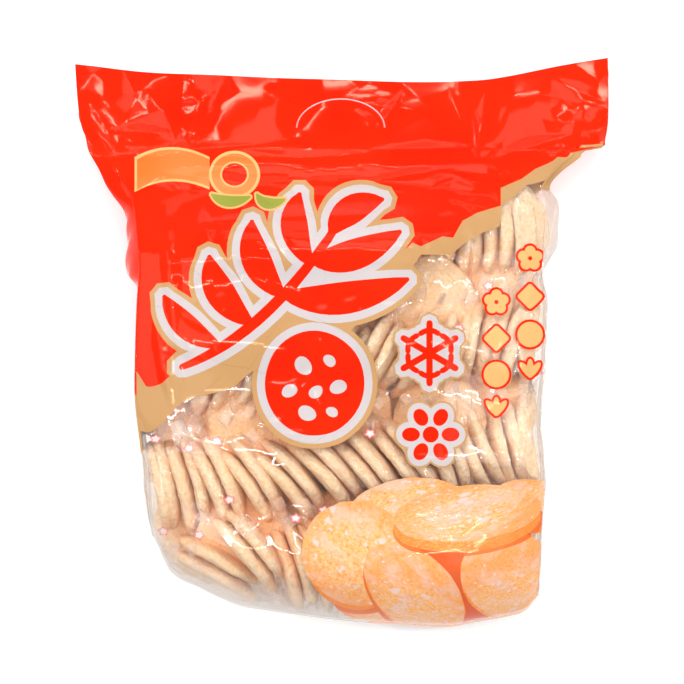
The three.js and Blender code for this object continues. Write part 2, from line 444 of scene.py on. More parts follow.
# The banner's ends and the bends between them, its medallion, and the start, bend and end of its leaves
BANNER_UPPER = polygon((-164, 146), (-138, 162), (-106, 146))
BANNER_LOWER = polygon((-106, 124), (-138, 138), (-164, 122))
BANNER_MARGIN = 2.0
MEDAL_MIDDLE = (-86.0, 134.0)
MEDAL_RINGS = (
    (GOLD, (20.5, 19.0), 40), (ORANGE, (18.2, 16.8), 40), (GOLD, (11.5, 10.5), 30), (RED, (10.0, 9.0), 30),
)
LEAVES = (((-104, 118), (-92, 108), (-74, 116)), ((-68, 118), (-62, 106), (-46, 114)))
LEAF_WIDTHS = (2, 9, 2)
LEAF_MARGIN = 1.6


def ear_outlines(margin):
    """The ear, and the round cracker under it."""
    strokes = [stroke(*grain, margin, 14) for grain in EAR]
    return strokes + [ellipse(ROUND_MIDDLE, [r + margin for r in ROUND_RADII], 0.0, 52, 0.006, 9)]


def round_spots():
    x, y = ROUND_MIDDLE
    return [ellipse((x + dx, y + dy), (r, 0.78 * r), 25 + 9 * dx, 18, 0.04, 4) for dx, dy, r in ROUND_SPOTS]


def arm_marks(centre, margin):
    """Six bars through one centre, each with a short bar across its end."""
    shapes = []
    for k in range(6):
        out = direction(60 * k + 30)
        side = np.array([-out[1], out[0]])
        tip, cross = centre + out * MARK_RADIUS, centre + out * MARK_RADIUS * 0.66
        shapes.append(stroke(centre, (centre + tip) / 2, tip, (5.2,) * 3, margin, 8))
        shapes.append(stroke(cross - side * 7, cross + out * 5, cross + side * 7, (4.4,) * 3, margin, 8))
    return shapes


def petal_marks(centre, margin):
    """Six petals round a small disc."""
    shapes = [ellipse(centre, (6.5 + margin,) * 2, 0, 20)]
    for a in range(0, 360, 60):
        middle = centre + direction(a) * MARK_RADIUS * 0.66
        shapes.append(ellipse(middle, (MARK_RADIUS * 0.3 + margin, 5.6 + margin), a, 24))
    return shapes


def small_mark(centre, kind, margin):
    """A blossom, a lozenge, a disc or a sprig of three leaves, grown by a margin."""
    if kind == 0:
        lobes = [centre + 5.8 * direction(90 + 72 * k) for k in range(5)]
        return [ellipse(lobe, (4.3 + margin,) * 2, 0, 18) for lobe in lobes]
    if kind == 1:
        return [rounded(centre, 7.6 + margin, 2.0 + margin, 45)]
    if kind == 2:
        return [ellipse(centre, (10.2 + margin,) * 2, 0, 30)]
    leaves = [(centre + (0, -3) + (5.5, 6.5) * direction(a), a) for a in (52, 90, 128)]
    return [ellipse(middle, (7.6 + margin, 2.7 + margin), a, 22) for middle, a in leaves]


def print_layers():
    """The print as (colour, outlines, printed cracker) from the lowest layer to the highest."""
    layers = [
        (TAN, [field(TAN_EDGE)]),
        (RED, [field(RED_EDGE)]),
        (TAN, ear_outlines(TAN_MARGIN) + [ellipse(*TAN_FILL)]),
        (WHITE, ear_outlines(WHITE_MARGIN) + [ellipse(*WHITE_FILL)]),
        (RED, ear_outlines(0.0)),
        (WHITE, round_spots()),
    ]
    for marks, centre in zip((arm_marks, petal_marks), MARK_CENTRES):
        layers += [(kind, marks(np.array(centre), m)) for kind, m in zip((TAN, WHITE, RED), MARK_MARGINS)]
    for k, centre in enumerate(SMALL_MARKS):
        for kind, margin in ((RED, SMALL_MARGIN), (GOLD, 0.0)):
            layers.append((kind, small_mark(np.array(centre), k % 4, margin)))
    layers += banner_layers()
    layers.append((DEEP, [PICTURE_MIDDLE]))
    layers = [(kind, outlines, -1) for kind, outlines in layers]
    for k, (centre, radii, turn, seed, shown) in enumerate(PICTURE_CRACKERS):
        x, y = centre
        grown = [r + SHADOW_GROW for r in radii]
        shadow_centre = (x + SHADOW_SHIFT[0], y - shown + SHADOW_SHIFT[1])
        shadow = ellipse(shadow_centre, grown, turn, 60, 0.01, seed)
        rim = ellipse((x + RIM_SHIFT, y - shown), radii, turn, 110, 0.014, seed + 50)
        layers.append((SHADOW, [shadow], -1))
        layers.append((RIM, [rim], k))
        layers.append((PICTURE, [ellipse(centre, radii, turn, 110, 0.014, seed)], k))
    return layers


def banner_outline(margin):
    """The banner, grown upwards, downwards and past its left end."""
    grow = margin * polygon((-1, 1), (0, 1), (0, 1))
    upper = curve_points(*(BANNER_UPPER + grow), 12)
    lower = curve_points(*(BANNER_LOWER + grow[::-1] * (1, -1)), 12)
    return np.concatenate([upper, lower])


def banner_layers():
    """A plain curved banner with a round medallion and two leaves."""
    layers = [(GOLD, [banner_outline(BANNER_MARGIN)]), (ORANGE, [banner_outline(0.0)])]
    for kind, radii, steps in MEDAL_RINGS:
        layers.append((kind, [ellipse(MEDAL_MIDDLE, radii, 0, steps)]))
    for kind, margin in ((GOLD, LEAF_MARGIN), (GREEN, 0.0)):
        layers.append((kind, [stroke(*leaf, LEAF_WIDTHS, margin, 12) for leaf in LEAVES]))
    return layers


# ---- creases of the film
# Each fold's start and end as seen from above, how high it stands and how far its flat slopes reach.
HEADER_FOLDS = (
    ((-132, 158), (-128, 220), 1.7, 13),
    ((-118, 158), (-96, 216), 1.4, 9),
    ((-121, 156), (-160, 208), -1.1, 14),
    ((-206, 200), (-190, 122), 1.4, 12),
    ((-197, 172), (-172, 114), 1.8, 6),
    ((-204, 158), (-174, 120), -1.5, 7),
    ((-188, 172), (-138, 170), 1.6, 7),
    ((-176, 160), (-122, 156), -1.2, 8),
    ((-60, 186), (-40, 212), -1.1, 16),
    ((25, 164), (51, 207), 1.5, 6),
    ((8, 190), (32, 170), 1.3, 5),
    ((108, 145), (86, 208), 1.9, 9),
    ((108, 145), (101, 206), -1.5, 6),
    ((108, 145), (117, 208), 1.5, 8),
    ((108, 145), (130, 164), 1.2, 6),
    ((108, 146), (194, 171), 1.7, 8),
    ((194, 171), (214, 192), 1.5, 9),
    ((194, 171), (194, 190), 1.2, 8),
    ((194, 171), (207, 160), 1.2, 6),
    ((194, 171), (170, 214), 1.0, 14),
    ((188, 184), (180, 150), 1.1, 9),
    ((176, 166), (170, 136), 1.6, 6),
    ((-190, 150), (-60, 161), 1.5, 7),
    ((-90, 158), (30, 156), -1.3, 8),
    ((18, 156), (120, 158), 1.8, 6),
    ((18, 130), (96, 143), 1.6, 6),
    ((70, 142), (150, 132), 1.3, 7),
    ((-150, 138), (-60, 128), 1.1, 9),
    ((-60, 128), (60, 122), 1.3, 10),
    ((20, 132), (130, 118), -1.1, 10),
)


# Long soft ridges of the front film over the body
BODY_FOLDS = (
    ((103, 98), (106, 34), 2.8, 6),
    ((153, -42), (138, -114), 2.8, 6),
    ((-112, 112), (-104, 74), 2.4, 7),
    ((-141, 118), (-130, -10), 2.0, 9),
    ((-150, 30), (-132, -60), 1.8, 8),
    ((-120, 96), (40, 104), 1.8, 10),
    ((80, 118), (160, 96), 2.4, 9),
    ((120, 128), (150, 60), 2.0, 7),
    ((-34, -108), (-16, -142), 2.0, 5),
    ((30, -106), (44, -132), 1.8, 5),
    ((-146, -80), (-138, -160), 1.6, 6),
    ((40, 40), (54, -40), 1.4, 8),
    ((140, 20), (148, -60), 1.6, 7),
)


def fold_height(x, y, start, end, height, width):
    """The height of one straight fold: two flat slopes that meet in a line and fade at its ends."""
    length = math.dist(start, end)
    ux, uy = (end[0] - start[0]) / length, (end[1] - start[1]) / length
    along = (x - start[0]) * ux + (y - start[1]) * uy
    across = np.abs((x - start[0]) * uy - (y - start[1]) * ux)
    fade = np.clip(np.minimum(along, length - along) / (0.42 * length), 0, 1)
    return height * np.maximum(0.0, fade - across / width)


def random_folds(seed, count, low, high, lengths, widths, rise):
    """Folds at seeded random places between two corners."""
    rng = np.random.default_rng(seed)
    folds = []
    for _ in range(count):
        centre = rng.uniform(low, high)
        angle = rng.uniform(0, math.pi)
        step = np.array([math.cos(angle), math.sin(angle)]) * rng.uniform(*lengths) / 2
        height = rng.uniform(*rise) * rng.choice((-1, 1))
        folds.append((tuple(centre - step), tuple(centre + step), height, rng.uniform(*widths)))
    return folds


BOTH_FILMS = (*HEADER_FOLDS, *random_folds(3, 8, (-205, 128), (205, 215), (60, 130), (18, 34), (0.5, 1.2)))
FRONT_FILM = (
    *BODY_FOLDS,
    *random_folds(5, 7, (-205, 110), (205, 215), (30, 70), (6, 11), (0.4, 0.8)),
    *random_folds(6, 90, (-155, -200), (155, 120), (30, 90), (7, 16), (0.3, 1.0)),
    *random_folds(7, 80, (-155, -215), (155, 130), (12, 40), (2.6, 4.2), (0.4, 0.9)),
)
BACK_FILM = random_folds(8, 90, (-150, -200), (150, 120), (30, 110), (8, 20), (0.3, 1.0))


def folds_at(x, y, folds):
    """The height of all the folds together."""
    total = np.zeros_like(x)
    for start, end, height, width in folds:
        total += fold_height(x, y, start, end, height, width)
    return total


EDGE_REACH = 14.0  # how far in from the creased edges the folds grow to their full height
EDGE_SHARE = 0.25  # and their share of it at the edge
BODY_SINK, HEADER_SINK = 1.2, 9.2  # how far a fold may sink: over the contents the film can't go far


def film_relief(points, own_folds):
    """The folds' height on a panel, less at its creased edges."""
    x, y = points[:, 0], points[:, 1]
    edge = np.clip((crease_half(y, x) - np.abs(x)) / EDGE_REACH, 0, 1)
    relief = (folds_at(x, y, BOTH_FILMS) + folds_at(x, y, own_folds)) * lerp(EDGE_SHARE, 1.0, edge)
    return np.maximum(relief, -lerp(BODY_SINK, HEADER_SINK, blend(128, 144, y)))


def front_film(share, s):
    """Points of the front film with its folds."""
    points = panel_point(share, s, front_z)
    points[:, 2] += film_relief(points, FRONT_FILM)
    return points


def back_film(share, s):
    """Points of the back film with its folds, none of them under the floor."""
    points = panel_point(share, s, back_z)
    relief = film_relief(points, BACK_FILM)
    points[:, 2] += lerp(np.maximum(0, relief), relief, blend(5, 14, points[:, 2]))
    return points


# ---- building meshes
def new_object(name, vertices, faces, materials, indices=None, smooth=True):
    """A mesh object from vertices in millimetres."""
    mesh = bpy.data.meshes.new(name)
    mesh.from_pydata((np.asarray(vertices) * MM).tolist(), [], faces)
    for material in materials:
        mesh.materials.append(material)
    if indices is not None:
        mesh.polygons.foreach_set("material_index", np.asarray(indices, np.int32))
    if smooth:
        mesh.polygons.foreach_set("use_smooth", np.ones(len(mesh.polygons), bool))
    mesh.update()
    piece = bpy.data.objects.new(name, mesh)
    bpy.context.scene.collection.objects.link(piece)
    return piece


def add_attribute(mesh, name, values, domain="POINT"):
    """Gives a mesh a number or a vector at each of its points or corners."""
    kind, key = ("FLOAT", "value") if values.ndim == 1 else ("FLOAT_VECTOR", "vector")
    mesh.attributes.new(name, kind, domain).data.foreach_set(key, values.ravel())


def hex_points(low, high, step, seed):
    """A slightly uneven triangular grid of points."""
    rng = np.random.default_rng(seed)
    rows = np.arange(low[1], high[1], step * 0.866)
    columns = np.arange(low[0], high[0], step)
    x, y = np.meshgrid(columns, rows)
    x = x + (np.arange(len(rows)) % 2)[:, None] * step / 2
    points = np.stack([x.ravel(), y.ravel()], -1)
    return points + rng.uniform(-0.12, 0.12, points.shape) * step


def thin_out(points, fixed, gap):
    """The points that lie further than about a gap from every fixed point."""
    taken = set()
    for dx in (-1, 0, 1):
        for dy in (-1, 0, 1):
            cells = np.floor(fixed / gap).astype(int) + (dx, dy)
            taken.update(map(tuple, cells))
    keep = [tuple(cell) not in taken for cell in np.floor(points / gap).astype(int)]
    return points[keep]


def spread(outline, step):
    """A closed outline with points at most one step apart."""
    result = []
    for a, b in zip(outline, np.roll(outline, -1, axis=0)):
        n = max(1, int(math.ceil(np.linalg.norm(b - a) / step)))
        result.append(a + (b - a) * (np.arange(n) / n)[:, None])
    return np.concatenate(result)


HEADER_FROM = 120.0  # from this y upwards a panel's mesh is finer
OUTLINE_STEP = 3.0
HANDLE_STEP = 2.0
LOOSE_GAP = 0.75  # how near the mesh's other points come to an outline
RAIL_STEP = 2.6
RAIL_V = np.linspace(0, FILM_LENGTH, int(FILM_LENGTH / RAIL_STEP) + 1)
EDGE_S = np.linspace(-1, 1, 161)


def panel_boundary():
    """The closed edge of the front and back panels in the flat pattern, anticlockwise."""
    share = share_of(RAIL_V)
    rails = []
    for side in (-1.0, 1.0):
        s = np.full_like(share, side)
        rails.append(np.stack([s * crease_half(y_at(share, s), s), RAIL_V], -1))
    ends = []
    for v, edge in ((0.0, bottom_edge), (FILM_LENGTH, top_edge)):
        y = edge(EDGE_S)
        ends.append(np.stack([EDGE_S * crease_half(y, EDGE_S), np.full_like(EDGE_S, v)], -1))
    return np.concatenate([ends[0], rails[1][1:], ends[1][::-1][1:], rails[0][::-1][1:-1]])


def handle_outline():
    """The thin arched cut of the handle, as seen from above."""
    a = np.linspace(0, math.pi, 34)
    outer = np.stack([np.cos(a) * HANDLE["half_width"], np.sin(a) * HANDLE["height"]], -1)
    inner_width, inner_height = HANDLE["half_width"] - HANDLE["cut"], HANDLE["height"] - HANDLE["cut"]
    inner = np.stack([np.cos(a) * inner_width, np.sin(a) * inner_height], -1)[::-1]
    return np.concatenate([outer, inner]) + (HANDLE["x"], HANDLE["y"])


def cut_panel(layers, steps, seed):
    """Triangulates a panel's flat pattern so that every outline of its print is made of edges.
    Returns the flat points, the faces, each face's colour and the layer that it shows."""
    boundary = panel_boundary()
    handle = spread(to_flat(handle_outline()), HANDLE_STEP)
    outlines = [[spread(to_flat(o), OUTLINE_STEP) for o in layer[1]] for layer in layers]
    loops = [boundary, handle] + [o for group in outlines for o in group]
    fixed = np.concatenate(loops)
    edges = []
    start = 0
    for loop in loops:
        n = len(loop)
        edges += [(start + i, start + (i + 1) % n) for i in range(n)]
        start += n
    header_v = v_of((HEADER_FROM - BOTTOM_Y) / BAG_HEIGHT)
    fine = hex_points((-219, header_v), (219, FILM_LENGTH), steps[0], seed)
    coarse = hex_points((-175, 0), (175, header_v), steps[1], seed + 1)
    loose = thin_out(np.concatenate([fine, coarse]), fixed, LOOSE_GAP)
    loose = loose[inside(boundary, loose)]
    points = np.concatenate([fixed, loose])
    cut = delaunay_2d_cdt([Vector(p) for p in points.tolist()], edges, [], 0, 1e-5)
    flat = np.array([tuple(p) for p in cut[0]])
    faces = np.array([f for f in cut[2] if len(f) == 3])
    centre = flat[faces].mean(1)
    keep = inside(boundary, centre) & ~inside(handle, centre)
    faces, centre = faces[keep], centre[keep]
    colour = np.zeros(len(faces), int)
    owner = np.full(len(faces), -1)
    for k, (kind, group) in enumerate(zip((layer[0] for layer in layers), outlines)):
        for outline in group:
            hit = inside(outline, centre)
            if kind == SHADOW:
                hit &= np.isin(colour, (PICTURE, RIM))
            colour[hit] = kind
            owner[hit] = k
    return flat, faces, colour, owner


class Skin:
    """Collects the panels of the film into one mesh."""

    def __init__(self):
        self.points, self.faces, self.colours = [], [], []
        self.flat, self.picture = [], []
        self.count = 0

    def add(self, points, faces, colours, flat, picture=None):
        self.points.append(points)
        self.faces.append(np.asarray(faces) + self.count)
        self.colours.append(np.asarray(colours))
        self.flat.append(flat)
        self.picture.append(np.zeros((len(faces), 3, 3)) if picture is None else picture)
        self.count += len(points)

    def grid(self, rows, colours, flat, flip):
        """Adds a grid of points, rows by columns, with a colour for each row of faces or for each face."""
        n, m = rows.shape[:2]
        i, j = np.meshgrid(np.arange(n - 1), np.arange(m - 1), indexing="ij")
        a = (i * m + j).ravel()
        corners = (a, a + 1, a + m + 1, a + m)
        first = np.stack([corners[0], corners[1], corners[2]], -1)
        second = np.stack([corners[0], corners[2], corners[3]], -1)
        faces = np.concatenate([first, second])
        if flip:
            faces = faces[:, ::-1]
        tint = np.broadcast_to(colours.reshape(n - 1, -1), (n - 1, m - 1)).ravel()
        self.add(rows.reshape(-1, 3), faces, np.concatenate([tint, tint]), flat.reshape(-1, 2))

    def build(self, name, materials):
        points = np.concatenate(self.points) + SHIFT
        faces = np.concatenate(self.faces)
        piece = new_object(name, points, faces.tolist(), materials, np.concatenate(self.colours))
        flat = np.concatenate(self.flat) * MM
        add_attribute(piece.data, "film", np.concatenate([flat, np.zeros((len(flat), 1))], 1))
        add_attribute(piece.data, "picture", np.concatenate(self.picture) * MM, "CORNER")
        return piece


def picture_places(flat, faces, owner, layers):
    """Where each corner of the picture's faces lies on its own cracker, as on a disc seen from above.
    The third number keeps the crackers' grain apart."""
    places = np.zeros((len(faces), 3, 3))
    for k, (kind, outlines, cracker) in enumerate(layers):
        mine = owner == k
        if cracker < 0 or not mine.any():
            continue
        outline = to_flat(outlines[0])
        _, radii, turn, seed, _ = PICTURE_CRACKERS[cracker]
        c, d = direction(turn)
        at = (flat[faces[mine]] - (outline.min(0) + outline.max(0)) / 2) @ np.array([[c, -d], [d, c]])
        places[mine, :, :2] = at / np.array(radii) * CRACKER_RADIUS
        places[mine, :, 2] = seed * 60.0 + (30.0 if kind == RIM else 0.0)
    return places


# The step of a panel's mesh in the header and in the body
FRONT_STEPS = (1.45, 2.1)
BACK_STEPS = (3.4, 4.6)
BACK_PRINT_SHIFT = (0, -6)


def add_front(skin):
    """The front film, with the print where the camera sees it."""
    layers = [(kind, [onto_film(o) for o in outlines], own) for kind, outlines, own in print_layers()]
    flat, faces, colour, owner = cut_panel(layers, FRONT_STEPS, 21)
    s, share = from_flat(flat)
    skin.add(front_film(share, s), faces, colour, flat, picture_places(flat, faces, owner, layers))


def add_back(skin):
    """The back film, with its fields of colour alone."""
    edges = ((TAN, TAN_EDGE), (RED, RED_EDGE))
    layers = [(kind, [field(edge + BACK_PRINT_SHIFT)], -1) for kind, edge in edges]
    flat, faces, colour, _ = cut_panel(layers, BACK_STEPS, 31)
    s, share = from_flat(flat)
    skin.add(back_film(share, s), faces[:, ::-1], colour, flat)


# The lowest red and the lowest tan on each side panel
SIDE_RED = {-1: -42.0, 1: 158.0}
SIDE_TAN = {-1: -86.0, 1: 124.0}
SIDE_STEPS = 19
SIDE_WRINKLE = 1.1
# Where the film's pattern goes on past the front panel's half width: from here, over the side's width
SIDE_FLAT_FROM, SIDE_FLAT_WIDTH = 170, 60


def side_colours(y, side):
    """The colour of a side panel at each y."""
    return np.where(y > SIDE_RED[side], RED, np.where(y > SIDE_TAN[side], TAN, CLEAR))


def crease_rails(side):
    """The front and back creases of a side, and the share of each of their points."""
    share = share_of(RAIL_V)
    s = np.full_like(share, float(side))
    return front_film(share, s), back_film(share, s), share


def add_side(skin, side):
    """A side panel, uneven between its two creases."""
    q = np.linspace(0, 1, SIDE_STEPS)
    front, back, share = crease_rails(side)
    rows = np.stack([side_point(share, side, np.full_like(share, k)) for k in q], 1)
    y, z = rows[..., 1], rows[..., 2]
    wrinkle = np.sin(y * 0.21 + 3 * np.sin(z * 0.06)) * np.sin(z * 0.13 + 1.3)
    inner = 4 * q * (1 - q)
    rows[..., 0] += side * wrinkle * inner * SIDE_WRINKLE * end_at(share)[:, None]
    lift_front, lift_back = front[:, 2] - rows[:, 0, 2], back[:, 2] - rows[:, -1, 2]
    rows[..., 2] += lerp(lift_front[:, None], lift_back[:, None], q[None, :])
    colours = side_colours(rows[:-1, 0, 1], side)
    across = side * (SIDE_FLAT_FROM + q * SIDE_FLAT_WIDTH)
    flat = np.stack(np.broadcast_arrays(across[None, :], RAIL_V[:, None]), -1)
    skin.grid(rows, colours, flat, side < 0)


CREASE_RADIUS = 0.9
HEADER_CREASE_RADIUS = 0.35


def add_crease(skin, side):
    """The rounded fold between the front and a side, where the pressed film stands out a little."""
    rail = crease_rails(side)[0]
    around = np.linspace(0, 2 * math.pi, 9)
    radius = lerp(CREASE_RADIUS, HEADER_CREASE_RADIUS, blend(135, 165, rail[:, 1]))[:, None]
    x = rail[:, :1] + side * radius * np.cos(around)
    z = rail[:, 2:] + radius * np.sin(around)
    rows = np.stack([x, np.broadcast_to(rail[:, 1:2], x.shape), z], -1)
    flat = np.stack(np.broadcast_arrays(side * (168 + around)[None, :], RAIL_V[:, None]), -1)
    skin.grid(rows, side_colours(rail[:-1, 1], side), flat, side < 0)


def seal_points(layer, depth):
    """One edge of the folded bottom seal. Layer is 1 for its front film and -1 for its back film."""
    height_of = front_z if layer > 0 else back_z
    base = panel_point(np.zeros_like(EDGE_S), EDGE_S, height_of)
    thick = lerp(SEAL["root"], SEAL["thickness"], depth)
    y = base[:, 1] - SEAL["out"] * depth - layer * thick * depth / 2
    z = END_Z + layer * thick / 2 - SEAL["down"] * depth
    return np.stack([base[:, 0], y, np.broadcast_to(z, y.shape)], -1)


PICTURE_FROM = 0.13  # where the printed picture begins on the seal


def add_seal(skin):
    """The folded bottom seal, from the front film's edge over its own edge to the back film's."""
    depths = np.linspace(0, 1, 9)
    none = np.zeros_like(EDGE_S)
    front = [front_film(none, EDGE_S)] + [seal_points(1, d) for d in depths]
    back = [seal_points(-1, d) for d in depths[::-1]] + [back_film(none, EDGE_S)]
    rows = np.stack(front + back)
    tint = np.where(EDGE_S[:-1] > PICTURE_FROM, RIM, CLEAR)
    colours = np.broadcast_to(tint, (len(rows) - 1, len(tint)))
    flat = np.stack(np.broadcast_arrays(EDGE_S[None, :] * 160, -np.arange(len(rows))[:, None] * 1.4), -1)
    skin.grid(rows, colours, flat, True)


def add_top_edge(skin):
    """The strip that joins the front and back films along the header's upper edge."""
    share = np.ones_like(EDGE_S)
    along = np.array([[FILM_LENGTH], [FILM_LENGTH + 1]])
    flat = np.stack(np.broadcast_arrays(EDGE_S[None, :] * 215, along), -1)
    skin.grid(np.stack([front_film(share, EDGE_S), back_film(share, EDGE_S)]), np.array([RED]), flat, False)


# ---- what the bag holds
CRACKER_RADIUS = 37.0
CRACKER_THICKNESS = 12.6
CRACKER_STEPS = (50, 17)  # round its rim, and across it
HIDDEN_CRACKER_STEPS = (32, 11)
PUFFS = ((0.05, 0.5), (0.13, 0.5), (0.3, 0.34))  # waves for each millimetre, and their height
PACK_PITCH = 23.4
PACK_HALF_LENGTH = 53.0
CRACKER_GAP, WRAPPER_GAP = 3.0, 1.5  # the least room between them and the bag's film
CRIMP_FROM = 45.0  # the wrapper's flat pressed ends start this far from its middle
FLAT_HALF = 49.0  # half the width of a wrapper where it lies flat

# Rows of upright packs: for stations across the bag, the row's middle and how far its packs lean.
# A lean is the angle of a pack's edge from the bag's length, tipped from top left to bottom right.
ROW_STATIONS = (
    ((-155, -109, 8), (-124, -112, 13), (-100, -110, 22), (-80, -106, 34), (-34, -104, 42), (14, -96, 42),
     (46, -88, 36), (88, -84, 27), (118, -80, 17), (172, -76, 8)),
    ((-155, -20, 6), (-90, -19, -12), (-30, -14, -26), (25, -12, -32), (60, -8, -28), (104, 0, -15),
     (178, 8, -6)),
    ((-155, 70, 4), (-60, 76, -8), (20, 80, 4), (90, 84, -2), (186, 86, 3)),
    ((-48, -176, 20), (-20, -176, 18), (10, -178, 12), (60, -180, 8), (110, -178, 4), (162, -168, 0)),
)
# Loose packs in the lower left corner: middle and lean
LOOSE_PACKS = ((-99, -179, 61), (-72, -160, 38))
# Packs that lie under the upright ones: their height, columns, rows and how far they tip over
LYING_LAYERS = (
    (15.0, (-105, -35, 35, 105), (-158, -74, 10, 84), 90),
    (44.0, (-112, -36, 42, 128), (-143, -58, 34, 96), 82),
    (66.0, (-76, 0, 74), (-147, -60, 36), 84),
)


def unit_wave(place):
    """A zigzag between -1 and 1 that repeats over 1."""
    return 4 * np.abs(place - np.floor(place + 0.5)) - 1


def cracker_points(rng, bend, steps):
    """The points of one cracker about its own middle: u along its lean, w up and n across.
    They run in rings over the rim, with a single point for each face's middle first and last."""
    around = ring_angles(steps[0])
    profile = np.linspace(math.pi / 2, -math.pi / 2, steps[1])
    ring = np.abs(np.cos(profile)) ** 0.55
    half = CRACKER_THICKNESS / 2 * rng.uniform(0.94, 1.04)
    thick = half * np.sign(profile) * np.abs(np.sin(profile)) ** 0.75
    radius = CRACKER_RADIUS * rng.uniform(0.95, 1.03) * np.ones(steps[0])
    for k in range(2, 10):
        radius += rng.normal() * 0.5 * np.sin(k * around + rng.uniform(0, 6.3))
    u = ring[:, None] * (radius * np.cos(around))[None, :]
    w = ring[:, None] * (radius * np.sin(around))[None, :]
    n = np.repeat(thick[:, None], steps[0], 1)
    bumps = np.zeros_like(u)
    for scale, height in PUFFS:
        for _ in range(3):
            way = rng.normal(size=3)
            way *= scale / np.linalg.norm(way)
            wave = u * way[0] + w * way[1] + n * way[2] * 1.5
            bumps += height / 3 * np.sin(2 * math.pi * wave + rng.uniform(0, 6.3))
    grow = 1 + bumps / 22
    bow = (u / CRACKER_RADIUS) ** 2 - 0.35
    n = n * (1 + bumps / half) + bend * bow + 0.3 * bend * (w / CRACKER_RADIUS) ** 2
    points = np.stack([u * grow, w * grow, n], -1)
    return np.concatenate([points[0, :1], points[1:-1].reshape(-1, 3), points[-1, :1]])


def grid_faces(rows, columns):
    """Faces of a closed band of rows, each a ring of columns points."""
    i, j = np.meshgrid(np.arange(rows - 1), np.arange(columns), indexing="ij")
    a = (i * columns + j).ravel()
    b = (i * columns + (j + 1) % columns).ravel()
    return np.stack([a, b, b + columns, a + columns], -1)


def cracker_faces(columns, rows):
    """Faces of one cracker: triangles round the two middles, and the rings between."""
    last = columns * (rows - 2) + 1
    j = np.arange(columns)
    beside = (j + 1) % columns
    first_fan = np.stack([np.zeros_like(j), beside + 1, j + 1], -1)
    last_fan = np.stack([j + last - columns, beside + last - columns, np.full_like(j, last)], -1)
    return first_fan.tolist() + (grid_faces(rows - 2, columns) + 1).tolist() + last_fan.tolist()


def turn_matrix(lean, tilt, roll):
    """Axes u, w and n of a pack: u along its lean, w up, n across the stack. Angles are in degrees."""
    c, d = direction(lean)
    u = np.array([d, -c, 0.0])
    w = np.array([0.0, 0.0, 1.0])
    n = np.cross(u, w)
    c, d = direction(tilt)
    w, n = w * c + n * d, n * c - w * d
    c, d = direction(roll)
    u, w = u * c + w * d, w * c - u * d
    return np.stack([u, w, n])


def along_row(stations):
    """Where the packs of a row stand: a pack's thickness apart, further where they lean."""
    x, y, lean = (np.array(column, float) for column in zip(*stations))
    at = x[0] + PACK_PITCH * 0.45
    while at < x[-1] - PACK_PITCH * 0.4:
        tip = np.interp(at, x, lean)
        yield at, np.interp(at, x, y), tip
        at += PACK_PITCH / math.cos(math.radians(tip))


def pack_list(rng):
    """Every pack as its middle, its axes and its bend, each a little off its place by chance.
    Also how many of them, the first ones, stand upright."""
    packs = []
    upright = [place for stations in ROW_STATIONS for place in along_row(stations)] + list(LOOSE_PACKS)
    for x, y, lean in upright:
        z = front_height(np.array([x]), np.array([y]))[0] - CRACKER_RADIUS - 3
        axes = turn_matrix(lean + rng.normal() * 1.5, rng.normal() * 3, rng.uniform(-8, 8))
        bend = (3.0 + rng.uniform(0, 2.5)) * (1 if x < 90 or y > 40 else -1)
        packs.append((np.array([x, y + rng.uniform(-2, 2), z]), axes, bend))
    upright_count = len(packs)
    for z, columns, rows, tilt in LYING_LAYERS:
        for x in columns:
            for y in rows:
                axes = turn_matrix(rng.uniform(-30, 30), tilt + rng.normal() * 5, rng.normal() * 4)
                middle = np.array([x, y, z]) + rng.uniform(-5, 5, 3) * (1, 1, 0.2)
                packs.append((middle, axes, rng.uniform(1, 2)))
    return packs, upright_count


def room_round(points):
    """How far points inside the bag lie from the nearest film."""
    x, y, z = points.T
    half = crease_half(y, x)
    top, bottom = front_height(x, y), back_height(x, y)
    q = np.clip((top - z) / np.maximum(1.0, top - bottom), 0, 1)
    beside = half + side_panel(y, x, q) - np.abs(x)
    below = y - bottom_edge(np.clip(x / half, -1, 1))
    return np.minimum.reduce([top - z, z - bottom, beside, below])


def keep_in_bag(points, gap):
    """Presses points back inside the film."""
    x, y, z = points.T
    half = crease_half(y, x)
    top = front_height(x, y) - gap
    bottom = back_height(x, y) + gap
    z = np.clip(z, bottom, np.maximum(top, bottom + 0.5))
    q = (top - z) / np.maximum(1.0, top - bottom)
    side_room = half + side_panel(y, x, q) - gap
    x = np.clip(x, -side_room, side_room)
    low_y = bottom_edge(np.clip(x / half, -1, 1)) + gap
    return np.stack([x, np.maximum(y, low_y), z], -1)


def settle(middle, points, gap):
    """Moves a rigid piece towards a place inside the film, and presses in what still crosses it."""
    shift = np.zeros(3)
    for _ in range(20):
        placed = points + middle + shift
        pressed = keep_in_bag(placed, gap)
        move = pressed - placed
        worst = np.array([move[:, k].min() + move[:, k].max() for k in range(3)])
        if np.abs(worst).max() < 0.1:
            break
        shift += worst * 0.6
    return keep_in_bag(points + middle + shift, gap), shift


def make_crackers(rng, packs, upright):
    """The crackers' points, faces and tones, two crackers a pack, and how far each pack moved to fit."""
    vertices, faces, tones, moved = [], [], [], []
    count = 0
    for k, (middle, axes, bend) in enumerate(packs):
        shifts = []
        steps = CRACKER_STEPS if k < upright else HIDDEN_CRACKER_STEPS
        for half in (-1, 1):
            own = cracker_points(rng, bend * rng.uniform(0.85, 1.15), steps)
            offset = np.array([rng.normal() * 1.2, rng.normal() * 0.8, half * (CRACKER_THICKNESS / 2 - 0.1)])
            placed, shift = settle(middle, (own + offset) @ axes, CRACKER_GAP)
            shifts.append(shift)
            vertices.append(placed)
            faces += [[corner + count for corner in face] for face in cracker_faces(*steps)]
            tones.append(np.full(len(placed), rng.uniform()))
            count += len(placed)
        moved.append(np.mean(shifts, 0))
    return np.concatenate(vertices), faces, np.concatenate(tones), moved


